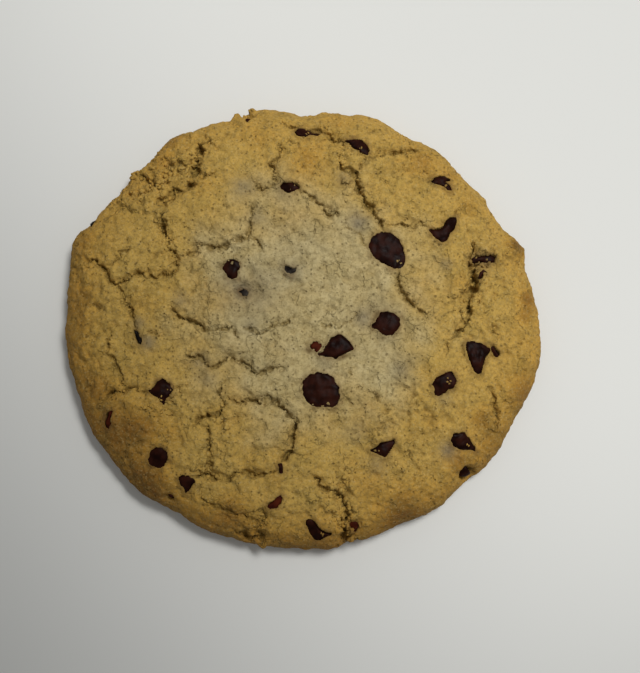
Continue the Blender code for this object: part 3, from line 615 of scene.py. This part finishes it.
def near_chip(x, y):
    """The opening within 3 mm of a place, and the distance to its edge, or None."""
    best = None
    for opening in openings:
        if math.hypot(x - opening[1], y - opening[2]) < 7.5:
            past = past_edge(x, y, opening[7])
            if past < 3.0 and (best is None or past < best[1]):
                best = (opening, past)
    return best


# Finer faces along the cracks and round the chips.
alone(dough)
bpy.ops.object.mode_set(mode="EDIT")
grid = bmesh.from_edit_mesh(dough.data)
for face in grid.faces:
    middle = face.calc_center_median()
    fine = False
    if middle.z > 4 * MM:
        chip_here = near_chip(middle.x / MM, middle.y / MM)
        fine = near_crack(middle.x / MM, middle.y / MM)[0] < 0.75
        fine = fine or (chip_here is not None and abs(chip_here[1]) < 0.7)
    face.select_set(fine)
bmesh.update_edit_mesh(dough.data)
bpy.ops.mesh.subdivide(number_cuts=1)
bpy.ops.object.mode_set(mode="OBJECT")

# Weights for the modifiers below: where the crust is smoothed, crumbly, cracked, lipped or flat.
GROUP_NAMES = ("smooth", "crust", "crumbly", "cracks", "lips", "underside")
groups = {name: dough.vertex_groups.new(name=name) for name in GROUP_NAMES}
for vertex in dough.data.vertices:
    x, y, z = (value / MM for value in vertex.co)
    k = vertex.index
    if z < 0.1:
        if math.hypot(x, y) < 46:
            groups["underside"].add([k], 1.0, "REPLACE")
        continue
    distance, wide, deep = near_crack(x, y)
    loose = spotted(CRUMBLY, x, y) + (0.4 * math.exp(-((distance / 1.2) ** 2)) if z > 4 else 0.0)
    rim = smoothstep(0.86, 0.98, math.hypot(x / HALF_WIDTH, y / HALF_DEPTH)) * (1 - min(1.0, loose))
    groups["crust"].add([k], min(1.0, z / 2.5) * (1 - 0.5 * rim), "REPLACE")
    at_chip = rim_chips.find_nearest(vertex.co, 0.9 * MM)[0] is not None
    groups["smooth"].add([k], 0.0 if at_chip else 1.0, "REPLACE")
    groups["crumbly"].add([k], min(1.0, loose) * min(1.0, z / 3), "REPLACE")
    if z < 4:
        continue
    valley = 0.16 * math.exp(-((distance / (wide + 0.9)) ** 2))
    core = 1 - smoothstep(0.5, 1.2, distance / wide)
    groups["cracks"].add([k], min(1.0, deep * (valley + 0.5 * core)), "REPLACE")
    lip = math.exp(-(((distance - wide - 0.8) / 0.8) ** 2)) * (0.6 + 0.8 * wave(x, y, 3.0, 71.0))
    groups["lips"].add([k], max(0.0, min(1.0, lip)), "REPLACE")


# Relief in the crust: its pattern and settings, size and strength in millimetres, the level that stays,
# and where.
ROUND_LUMPS = {"noise_basis": "IMPROVED_PERLIN", "noise_depth": 1}
FINE_KNOBS = {"noise_basis": "IMPROVED_PERLIN", "noise_depth": 3}
RELIEF = (
    ("crust_lumps", "CLOUDS", ROUND_LUMPS, 3.4, 2.1, 0.5, "crust"),
    ("crust_knobs", "CLOUDS", FINE_KNOBS, 1.3, 1.15, 0.5, "crust"),
    ("loose_clods", "VORONOI", {}, 2.9, -2.2, 0.4, "crumbly"),
    ("open_crumb", "VORONOI", {}, 1.0, -0.45, 0.4, "crumbly"),
)
# The voxel steps are worn off, then come lumps, knobs, clods and open crumb, and last the lips and the
# cracks.
apply_modifier(dough, "round the steps", "SMOOTH", factor=0.5, iterations=5, vertex_group="smooth")
for name, kind, settings, size, strength, level, group in RELIEF:
    texture = bpy.data.textures.new(name, kind)
    texture.noise_scale = size * MM
    for key, value in settings.items():
        setattr(texture, key, value)
    pattern = {"texture": texture, "texture_coords": "LOCAL", "mid_level": level, "vertex_group": group}
    apply_modifier(dough, name, "DISPLACE", strength=strength * MM, **pattern)
for group, strength in (("lips", 0.3), ("cracks", -2.0)):
    upright = {"mid_level": 0.0, "direction": "Z", "vertex_group": group}
    apply_modifier(dough, group, "DISPLACE", strength=strength * MM, **upright)

# The skin of the crust broke into thin flakes as it dried, each edge a small jagged step.
for vertex in dough.data.vertices:
    x, y, z = (value / MM for value in vertex.co)
    if z < 2:
        continue
    torn = 0.4 * wave(x, y, 1.5, 101.0) + 0.22 * wave(x, y, 0.7, 102.0)
    flakes = 0.6 * smoothstep(-0.03, 0.03, wave(x, y, 7.0, 103.0) + torn)
    flakes += 0.45 * smoothstep(-0.03, 0.03, wave(x, y, 3.4, 104.0) + torn)
    flakes += 0.28 * smoothstep(0.0, 0.05, wave(x, y, 2.0, 105.0) + 0.5 * torn)
    strength = 0.45 + 0.5 * spotted(CRUMBLY, x, y) + 0.5 * wave(x, y, 14.0, 106.0)
    vertex.co.z += (flakes - 0.6) * max(0.15, strength) * min(1.0, (z - 2) / 2) * MM

# Each opening is torn through the crust, its edge lapping unevenly over the chip.
for vertex in dough.data.vertices:
    x, y, z = (value / MM for value in vertex.co)
    chip_here = near_chip(x, y) if z > 3 else None
    if chip_here is None:
        continue
    (_, chip_x, chip_y, level, slope_x, slope_y, stand, _), past = chip_here
    flat = level + slope_x * (x - chip_x) + slope_y * (y - chip_y)
    past += 0.05 + 0.3 * wave(x, y, 1.1, 91.0) + 0.12 * wave(x, y, 0.5, 92.0)
    if z > flat - 2:
        collar = flat + stand + 0.25 + 0.2 * wave(x, y, 1.2, 93.0)
        raised = z + max(0.0, collar - z) * (1 - smoothstep(0.1, 1.3, past))
        opened = smoothstep(-0.22, 0.0, -past - 0.02)
        vertex.co.z = (raised + (flat - 1.3 - raised) * opened) * MM

# At the rim the dough hugs its chips instead.
at_chips = dough.vertex_groups.new(name="at_chips")
for vertex in dough.data.vertices:
    at, normal, _, distance = rim_chips.find_nearest(vertex.co, 1.1 * MM)
    if at is not None and vertex.co.z > 2 * MM:
        uneven = 0.25 * wave(vertex.co.x / MM, vertex.co.y / MM, 1.1, 81.0)
        hold = 1 - smoothstep(0.55, 1.0, distance / MM + uneven)
        vertex.co = vertex.co.lerp(at - normal * 0.12 * MM, hold)
        at_chips.add([vertex.index], 1.0, "REPLACE")
apply_modifier(dough, "soft pockets", "SMOOTH", factor=0.5, iterations=2, vertex_group="at_chips")

# Spare faces go, first from the flat underside, which needs few. Its long faces are shaded flat, as
# they are.
MOST_FACES = 190_000
on_underside = {"vertex_group": "underside", "vertex_group_factor": 2.0}
apply_modifier(dough, "plain underside", "DECIMATE", ratio=0.42, **on_underside)
faces_now = sum(len(face.vertices) - 2 for face in dough.data.polygons)
apply_modifier(dough, "fewer faces", "DECIMATE", ratio=min(1.0, MOST_FACES / faces_now))
bpy.ops.object.shade_smooth()
for face in dough.data.polygons:
    if face.center.z < 0.3 * MM and face.normal.z < -0.9:
        face.use_smooth = False

# The crust's mean height in each cell of a grid 1.2 mm wide, to tell what lies sunk below its surroundings,
# where shade is painted.
CELL = 1.2
cells = {}
for vertex in dough.data.vertices:
    x, y, z = (value / MM for value in vertex.co)
    if z > 1:
        cells.setdefault((round(x / CELL), round(y / CELL)), []).append(z)
means = {key: sum(values) / len(values) for key, values in cells.items()}


def level_here(x, y):
    """The mean height of the crust within about 2 mm of a place."""
    column, row = round(x / CELL), round(y / CELL)
    near_cells = [(column + i, row + j) for i in (-1, 0, 1) for j in (-1, 0, 1)]
    near = [means[cell] for cell in near_cells if cell in means]
    return sum(near) / max(1, len(near))


# Marks for the crust's colours: pale; browned, and darker towards the side of the rim away from the light,
# which is painted shade; greyish; a darker ring round each chip; painted shade inside the cracks and where
# the crust lies sunk below its surroundings. The underside lay on the tray and browned evenly.
UNDERSIDE_BROWN = 0.75
MARK_NAMES = ("pale", "brown_and_shade", "grey", "chip_ring", "crack_shade", "sunk")
crust_marks = {name: [0.0] * len(dough.data.vertices) for name in MARK_NAMES}
for vertex in dough.data.vertices:
    x, y, z = (value / MM for value in vertex.co)
    k = vertex.index
    off = math.hypot(x - PALE_MIDDLE[0], y - PALE_MIDDLE[1])
    off = off + 9 * wave(x, y, 12.0, 41.0) + 5 * wave(x, y, 4.0, 42.0)
    crust_marks["pale"][k] = smoothstep(0.0, 1.0, (PALE_REACH - off) / 20)
    edge = math.hypot(x / HALF_WIDTH, y / HALF_DEPTH)
    # The rim browns all round, and towards the side away from the light it is painted darker still: painted
    # shade.
    turned = math.cos(math.atan2(y, x) - math.radians(SHADED_RIM_TURN))
    brown_and_shade = smoothstep(0.76, 1.02, edge) * (0.34 + 0.56 * (1 + turned) / 2)
    brown_and_shade = brown_and_shade + 0.2 * max(0.0, wave(x, y, 9.0, 43.0)) + spotted(BROWNED, x, y)
    crust_marks["brown_and_shade"][k] = min(1.1, brown_and_shade + 0.8 * spotted(GOLDEN, x, y) + (0.25 if z < 3 else 0.0))
    crust_marks["grey"][k] = spotted(GREYISH, x, y)
    if z < 0.3:
        crust_marks["pale"][k] = crust_marks["grey"][k] = 0.0
        crust_marks["brown_and_shade"][k] = UNDERSIDE_BROWN
    if z > 4:
        distance, wide, deep = near_crack(x, y)
        # Painted shade inside the cracks.
        crust_marks["crack_shade"][k] = 1 - smoothstep(0.6, 1.4, distance / (wide + 0.1))
        # Painted shade where the crust lies sunk below the mean height round it.
        crust_marks["sunk"][k] = level_here(x, y) - z if edge < 0.97 else 0.0
        chip_here = near_chip(x, y)
        if chip_here is not None:
            # A darker ring round each chip.
            ring = 1 - smoothstep(-0.2, 1.5, chip_here[1] + 0.9 * wave(x, y, 1.6, 111.0))
            crust_marks["chip_ring"][k] = ring * (0.6 + 0.6 * wave(x, y, 2.4, 112.0))
for name, values in crust_marks.items():
    dough.data.attributes.new(name, "FLOAT", "POINT").data.foreach_set("value", values)

# Baked cookie crust: sugar and flour dried to a matt sandy skin, pricked all over by steam, golden where it
# caught the heat and brown at the edge. Painted shade darkens its holes, cracks and hollows, and the side of
# its rim away from the light.
crust, shader = new_material("baked_crust")
links = crust.node_tree.links
place = add_node(crust, "ShaderNodeTexCoord").outputs["Object"]
marks = {}
for name in MARK_NAMES:
    marks[name] = add_node(crust, "ShaderNodeAttribute", {"attribute_name": name}).outputs["Fac"]

# Uneven grain: feature size in millimetres and how rough it is.
GRAINS = {
    "patches": (5.5, 0.5), "mottles": (4.0, 0.5), "blotches": (1.1, 0.6), "pits": (0.75, 0.65),
    "sand": (0.45, 0.6), "dust": (0.6, 0.7),
}
grain = {}
for name, (size, rough) in GRAINS.items():
    noise_inputs = {"Vector": place, "Scale": 1 / (size * MM), "Detail": 3.0, "Roughness": rough}
    grain[name] = add_node(crust, "ShaderNodeTexNoise", inputs=noise_inputs).outputs["Fac"]

# Steam holes of every size up to the widest: spacing and widest, in millimetres. Their dark colour is painted
# shade; the bump also presses them in.
holes = None
for spacing, widest in ((1.5, 0.32), (0.95, 0.28)):
    cell = add_node(crust, "ShaderNodeTexVoronoi", inputs={"Vector": place, "Scale": 1 / (spacing * MM)})
    tone = add_node(crust, "ShaderNodeSeparateColor", inputs={"Color": cell.outputs["Color"]}).outputs["Red"]
    wide_inputs = {"Value": tone, "From Min": 0.35, "To Max": widest / spacing}
    wide_here = add_node(crust, "ShaderNodeMapRange", inputs=wide_inputs).outputs["Result"]
    inside_inputs = {0: wide_here, 1: cell.outputs["Distance"]}
    inside = add_node(crust, "ShaderNodeMath", {"operation": "SUBTRACT"}, inside_inputs)
    soft_inputs = {"Value": inside.outputs[0], "From Min": -0.08, "From Max": 0.12}
    hole = add_node(crust, "ShaderNodeMapRange", inputs=soft_inputs).outputs["Result"]
    holes = add_node(crust, "ShaderNodeMath", {"operation": "MAXIMUM"}, {0: hole, 1: holes or 0.0}).outputs[0]

# Hair cracks between the grains of the skin, along the borders of warped cells, that come and go: how
# wide the cells and the cracks are in millimetres, and the grain that they show in. They are drawn as
# wide as they need to show. Their dark colour is painted shade; the bump also presses them in.
bent = add_node(crust, "ShaderNodeTexNoise", inputs={"Vector": place, "Scale": 1 / (1.3 * MM), "Detail": 3.0})
bend_inputs = {0: bent.outputs["Color"], "Scale": 2.6 * MM}
bend = add_node(crust, "ShaderNodeVectorMath", {"operation": "SCALE"}, bend_inputs)
moved_inputs = {0: place, 1: bend.outputs["Vector"]}
bent_place = add_node(crust, "ShaderNodeVectorMath", {"operation": "ADD"}, moved_inputs).outputs["Vector"]
hair = None
for size, width, seen in ((4.6, 0.13, "patches"), (2.3, 0.10, "mottles")):
    border_settings = {"feature": "DISTANCE_TO_EDGE", "voronoi_dimensions": "2D"}
    border_inputs = {"Vector": bent_place, "Scale": 1 / (size * MM)}
    border = add_node(crust, "ShaderNodeTexVoronoi", border_settings, border_inputs).outputs["Distance"]
    near_inputs = {"Value": border, "From Min": width / size * 0.3, "From Max": width / size * 1.6}
    near_inputs.update({"To Min": 1.0, "To Max": 0.0})
    line = add_node(crust, "ShaderNodeMapRange", inputs=near_inputs).outputs["Result"]
    seen_inputs = {"Value": grain[seen], "From Min": 0.56, "From Max": 0.66}
    shown = add_node(crust, "ShaderNodeMapRange", inputs=seen_inputs).outputs["Result"]
    broken = add_node(crust, "ShaderNodeMath", {"operation": "MULTIPLY"}, {0: line, 1: shown}).outputs[0]
    hair = add_node(crust, "ShaderNodeMath", {"operation": "MAXIMUM"}, {0: broken, 1: hair or 0.0}).outputs[0]

# Colours laid over the golden base: what from, its range, how strong at each end of it, and the colour.
BASE_COLOUR = "#BE9B4E"
LAYERS = (
    (marks["pale"], 0.0, 1.0, 0.0, 1.0, "#C0AE7E"),
    # These two layers brown the crust, and darken the side of the rim away from the light as painted shade.
    (marks["brown_and_shade"], 0.0, 0.65, 0.0, 0.85, "#B88A36"),
    (marks["brown_and_shade"], 0.5, 1.05, 0.0, 0.9, "#6E4412"),
    (grain["mottles"], 0.4, 0.7, 0.0, 0.3, "#8F7838"),
    (grain["blotches"], 0.45, 0.65, 0.0, 0.35, "#7C683A"),
    (grain["sand"], 0.52, 0.72, 0.0, 0.3, "#CDBB88"),
    (grain["dust"], 0.34, 0.5, 0.42, 0.0, "#6E5A30"),
    # Dark specks that stand for pits: painted shade.
    (grain["pits"], 0.28, 0.38, 0.6, 0.0, "#5E4A24"),
    (marks["grey"], 0.0, 1.0, 0.0, 0.75, "#6C675B"),
    # A darker ring round each chip.
    (marks["chip_ring"], 0.0, 1.0, 0.0, 0.85, "#644826"),
    # Painted shade in hollows sunk below their surroundings.
    (marks["sunk"], 0.1, 0.9, 0.0, 0.3, "#7A6430"),
    # Painted shade inside the cracks.
    (marks["crack_shade"], 0.1, 0.9, 0.0, 0.3, "#74602C"),
    # Painted shade in the steam holes.
    (holes, 0.0, 1.0, 0.0, 0.5, "#54401C"),
    # Painted shade in the hair cracks.
    (hair, 0.0, 1.0, 0.0, 0.26, "#5A471E"),
)
colour = add_node(crust, "ShaderNodeRGB").outputs[0]
colour.default_value = linear(BASE_COLOUR)
for source, low, high, from_share, to_share, tint in LAYERS:
    share_inputs = {"Value": source, "From Min": low, "From Max": high}
    share_inputs.update({"To Min": from_share, "To Max": to_share})
    share = add_node(crust, "ShaderNodeMapRange", inputs=share_inputs).outputs["Result"]
    mix_inputs = {0: share, 6: colour, 7: linear(tint)}
    colour = add_node(crust, "ShaderNodeMix", {"data_type": "RGBA"}, mix_inputs).outputs[2]
links.new(colour, shader.inputs["Base Color"])
shader.inputs["Roughness"].default_value = 0.9
shader.inputs["Specular IOR Level"].default_value = 0.2
shader.inputs["IOR"].default_value = 1.45
height = grain["sand"]
for low_part in (holes, hair):
    height = add_node(crust, "ShaderNodeMath", {"operation": "SUBTRACT"}, {0: height, 1: low_part}).outputs[0]
bump = add_node(crust, "ShaderNodeBump", inputs={"Strength": 0.8, "Distance": 0.25 * MM, "Height": height})
links.new(bump.outputs["Normal"], shader.inputs["Normal"])
dough.data.materials.append(crust)
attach(dough, "root")
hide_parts("baked_dough")

# Crumbs
# Grains of the same dough, broken from the crust as it tore and stuck back by butter and chocolate.
# They lie thick along the cracks and on crumbly spots, and a few cling to the chips.

# A grain is the hull of twelve corners spread evenly over a ball, each this far round from the last.
CORNERS = 12
SPREAD_TURN = 2.399963
hull = bmesh.new()
for k in range(CORNERS):
    tall = 1 - 2 * (k + 0.5) / CORNERS
    wide = math.sqrt(1 - tall * tall)
    turn = k * SPREAD_TURN
    hull.verts.new((wide * math.cos(turn), wide * math.sin(turn), tall))
bmesh.ops.convex_hull(hull, input=hull.verts)
bmesh.ops.recalc_face_normals(hull, faces=hull.faces)
hull.verts.index_update()
GRAIN_FACES = [[vertex.index for vertex in face.verts] for face in hull.faces]
GRAIN_CORNERS = [vertex.co.copy() for vertex in hull.verts]
hull.free()

dough_surface = surface_of([dough])
dough_points = KDTree(len(dough.data.vertices))
for vertex in dough.data.vertices:
    dough_points.insert(vertex.co, vertex.index)
dough_points.balance()
rng = random.Random(11)
grain_places, grain_faces, grain_marks = [], [], {name: [] for name in crust_marks}


def add_grain(at, normal, size, sunk):
    """One irregular grain this many millimetres across, its middle a little under the surface."""
    start = len(grain_places)
    turn = Matrix.Rotation(rng.uniform(0, 6.28), 3, "Z") @ Matrix.Rotation(rng.uniform(0, 6.28), 3, "X")
    middle = at - normal * size * sunk * MM
    stretch = Vector((rng.uniform(0.7, 1.3), rng.uniform(0.7, 1.3), rng.uniform(0.6, 1.0)))
    for corner in GRAIN_CORNERS:
        point = turn @ (corner * rng.uniform(0.8, 1.15))
        grain_places.append(middle + Vector(a * b for a, b in zip(point, stretch)) * size / 2 * MM)
    grain_faces.extend([[start + k for k in face] for face in GRAIN_FACES])
    nearest = dough_points.find(at)[1]
    for name, values in grain_marks.items():
        # Crumbs take none of the painted shade of the cracks and hollows.
        mark_here = 0.0 if name in ("crack_shade", "sunk") else crust_marks[name][nearest]
        values.extend([mark_here] * len(GRAIN_CORNERS))


def drop_grain(x, y, size, sunk):
    """A grain where a line straight down from above meets the dough, if it does so on the upper side."""
    at, normal, _, _ = dough_surface.ray_cast(Vector((x * MM, y * MM, ABOVE * MM)), DOWN)
    if at is None or at.z < 2 * MM or normal.z < 0.2:
        return
    chip_here = near_chip(x, y)
    if chip_here is not None and chip_here[1] < -0.3:
        return
    add_grain(at, normal, size, sunk)


# Crumb that clings to the chips: place from above in millimetres and how many grains.
CLINGING = (
    (2.0, -19.0, 4), (3.9, -18.9, 5), (5.4, -18.5, 3), (30.9, -13.1, 5), (29.4, 21.5, 5), (32.0, 30.6, 5),
    (38.1, 12.9, 4), (40.5, 13.4, 3), (-28.1, -15.2, 3), (-29.6, -17.2, 4), (12.5, 37.6, 4),
    (4.2, -45.3, 5), (20.6, 12.0, 3), (0.6, 42.0, 5), (-2.2, 28.6, 3), (9.8, -8.0, 3), (16.0, -28.6, 3),
    (-24.4, -33.8, 3), (35.6, -26.6, 3), (-15.0, 12.2, 2),
)
chip_tops = surface_of(chips)
for x, y, count in CLINGING:
    for k in range(count):
        above = Vector((rng.gauss(x, 0.45), rng.gauss(y, 0.45), ABOVE)) * MM
        at, normal, _, _ = chip_tops.ray_cast(above, DOWN)
        if at is not None and normal.z > 0.2:
            add_grain(at, normal, rng.uniform(0.35, 0.9), 0.2)

# Grains beside the cracks, then on the crumbly spots, then all over the top.
ALONG_CRACKS = 0.55
ON_SPOTS = 38
OVER_ALL = 2600
for x, y, wide, deep in crack_points:
    if rng.random() < ALONG_CRACKS:
        side = rng.choice((-1, 1)) * (wide + rng.uniform(-0.1, 0.9))
        turn = rng.uniform(0, 6.28)
        x, y = x + side * math.cos(turn), y + side * math.sin(turn)
        drop_grain(x, y, rng.uniform(0.3, 0.75), rng.uniform(0.15, 0.35))
for spot_x, spot_y, size, strength in CRUMBLY:
    for k in range(int(ON_SPOTS * strength * size)):
        x, y = rng.gauss(spot_x, size * 0.75), rng.gauss(spot_y, size * 0.75)
        drop_grain(x, y, rng.uniform(0.4, 1.4), rng.uniform(0.15, 0.38))
for k in range(OVER_ALL):
    reach, turn = math.sqrt(rng.random()), rng.uniform(0, 6.28)
    x, y = 51 * reach * math.cos(turn), 48 * reach * math.sin(turn)
    drop_grain(x, y, rng.uniform(0.3, 0.7), rng.uniform(0.25, 0.42))

crumb_mesh = bpy.data.meshes.new("cookie_crumbs")
crumb_mesh.from_pydata(grain_places, [], grain_faces)
crumbs = new_piece("cookie_crumbs", crumb_mesh)
for name, values in grain_marks.items():
    crumb_mesh.attributes.new(name, "FLOAT", "POINT").data.foreach_set("value", values)
bpy.ops.object.shade_smooth()
crumb_mesh.materials.append(crust)
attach(crumbs, "root")

# Table, daylight and camera
# A plain pale table top. Soft light falls from the upper right, and the table darkens away from it. The
# camera looks almost straight down, as in the photo.

bpy.ops.mesh.primitive_plane_add(size=2.0, location=(0, 0, 0))
table = bpy.context.object
table.name = "table_top"
# Melamine laminate pressed on a fine matt plate: an even white, with no clear reflection.
laminate, table_shader = new_material("white_laminate")
table_shader.inputs["Base Color"].default_value = linear("#DFDFDA")
table_shader.inputs["Roughness"].default_value = 0.7
table_shader.inputs["Specular IOR Level"].default_value = 0.2
table.data.materials.append(laminate)

# The light's place and aim in metres, its width, how far its beam opens in radians, and its power in watts.
WINDOW_PLACE = (0.198, 0.195, 0.373)
WINDOW_AIM = (0.084, 0.097, 0.0)
bpy.ops.object.light_add(type="AREA", location=WINDOW_PLACE)
window = bpy.context.object
window.name = "window"
window.data.size = 0.34
window.data.spread = 0.512
window.data.energy = 0.29
window.rotation_euler = (Vector(WINDOW_AIM) - window.location).to_track_quat("-Z", "Y").to_euler()

world = bpy.data.worlds.new("room")
world.use_nodes = True
world.node_tree.nodes["Background"].inputs["Color"].default_value = (0.98, 0.99, 1.0, 1.0)
world.node_tree.nodes["Background"].inputs["Strength"].default_value = 0.25
bpy.context.scene.world = world
bpy.context.scene.view_settings.view_transform = "Standard"

# The camera's place and aim in millimetres.
CAMERA_PLACE = (3.76, -42.76, 289.87)
CAMERA_AIM = (3.76, -2.58, 4.0)
bpy.ops.object.camera_add(location=[value * MM for value in CAMERA_PLACE])
camera = bpy.context.object
sight = Vector([value * MM for value in CAMERA_AIM]) - camera.location
camera.rotation_euler = sight.to_track_quat("-Z", "Y").to_euler()
camera.data.lens = 70.0
camera.data.sensor_width = 36.0
camera.data.clip_start = 0.01
bpy.context.scene.camera = camera
